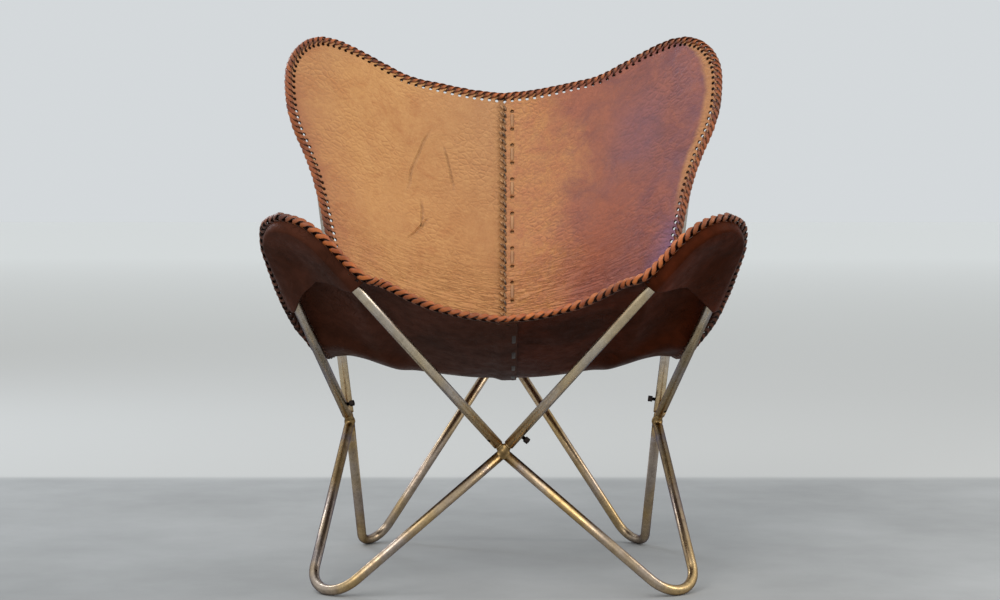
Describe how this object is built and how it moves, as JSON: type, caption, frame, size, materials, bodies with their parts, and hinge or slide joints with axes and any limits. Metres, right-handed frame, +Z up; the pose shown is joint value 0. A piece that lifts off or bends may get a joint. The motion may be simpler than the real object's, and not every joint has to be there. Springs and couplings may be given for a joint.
{
  "type": "butterfly sling chair",
  "caption": "Lounge chair with a laced leather butterfly sling, hung by corner pockets on a knock-down frame of bent round steel.",
  "frame": {"origin": "on the floor under the middle of the chair's bounding box", "axes": "+Z up, -Y out of the front of the seat, +X to the right seen from the front"},
  "size_m": [0.756, 0.6824, 0.897],
  "materials": {
    "steel": "burnished bare steel with brown heat tint",
    "weld": "ground weld",
    "screw": "blackened",
    "tan_leather": "waxed, wrinkled",
    "brown_leather": "waxed, wrinkled",
    "dark_leather": "flesh side, dark",
    "lace": "round thong"
  },
  "bodies": {
    "chair": {"foot_bend_front_right": "steel", "foot_bend_front_left": "steel", "foot_bend_back_right": "steel", "foot_bend_back_left": "steel", "spigot_front_front_right": "steel", "spigot_right_front_right": "steel", "hoop_front_right": "steel", "spigot_back_back_right": "steel", "spigot_right_back_right": "steel", "hoop_back_right": "steel", "spigot_back_back_left": "steel", "spigot_left_back_left": "steel", "hoop_back_left": "steel", "spigot_front_front_left": "steel", "spigot_left_front_left": "steel", "hoop_front_left": "steel", "hub_front": "weld", "hub_right": "weld", "hub_back": "weld", "hub_left": "weld", "panel_right": "brown_leather", "panel_left": "tan_leather", "pocket_front_right": "dark_leather", "pocket_front_left": "dark_leather", "pocket_back_right": "dark_leather", "pocket_back_left": "dark_leather", "lacing_front": "lace", "lacing_back": "lace", "lacing_right": "lace", "lacing_left": "lace", "seam_lacing": "lace", "seam_thong": "lace"},
    "lock_screw_front_right": {"lock_screw_front_right": "screw"},
    "grub_screw_front_right": {"grub_screw_front_right": "screw"},
    "grub_screw_back_right": {"grub_screw_back_right": "screw"},
    "lock_screw_back_right": {"lock_screw_back_right": "screw"},
    "lock_screw_back_left": {"lock_screw_back_left": "screw"},
    "grub_screw_back_left": {"grub_screw_back_left": "screw"},
    "grub_screw_front_left": {"grub_screw_front_left": "screw"},
    "lock_screw_front_left": {"lock_screw_front_left": "screw"}
  },
  "joints": [
    {"name": "lock_screw_front_right_turn", "type": "hinge", "parent": "chair", "child": "lock_screw_front_right", "pos_m": [0.0296, -0.26601, 0.24651], "axis": [0.7565, 0.1373, -0.6394], "range_deg": [0, 1512]},
    {"name": "grub_screw_front_right_turn", "type": "hinge", "parent": "chair", "child": "grub_screw_front_right", "pos_m": [0.26637, -0.03212, 0.26228], "axis": [0.5746, -0.5316, -0.6223], "range_deg": [0, 1512]},
    {"name": "grub_screw_back_right_turn", "type": "hinge", "parent": "chair", "child": "grub_screw_back_right", "pos_m": [0.01754, 0.26015, 0.37319], "axis": [0.5652, 0.7147, -0.4121], "range_deg": [0, 1512]},
    {"name": "lock_screw_back_right_turn", "type": "hinge", "parent": "chair", "child": "lock_screw_back_right", "pos_m": [0.25121, 0.00375, 0.27951], "axis": [-0.9898, 0.0586, 0.1297], "range_deg": [0, 1512]},
    {"name": "lock_screw_back_left_turn", "type": "hinge", "parent": "chair", "child": "lock_screw_back_left", "pos_m": [-0.02383, 0.25495, 0.37981], "axis": [-0.8852, -0.0717, -0.4596], "range_deg": [0, 1512]},
    {"name": "grub_screw_back_left_turn", "type": "hinge", "parent": "chair", "child": "grub_screw_back_left", "pos_m": [-0.26251, 0.00574, 0.26796], "axis": [-0.5652, 0.7147, -0.4121], "range_deg": [0, 1512]},
    {"name": "grub_screw_front_left_turn", "type": "hinge", "parent": "chair", "child": "grub_screw_front_left", "pos_m": [-0.02291, -0.27009, 0.24073], "axis": [-0.5746, -0.5316, -0.6223], "range_deg": [0, 1512]},
    {"name": "lock_screw_front_left_turn", "type": "hinge", "parent": "chair", "child": "lock_screw_front_left", "pos_m": [-0.25631, -0.03394, 0.27509], "axis": [0.9607, -0.1701, 0.2194], "range_deg": [0, 1512]}
  ]
}
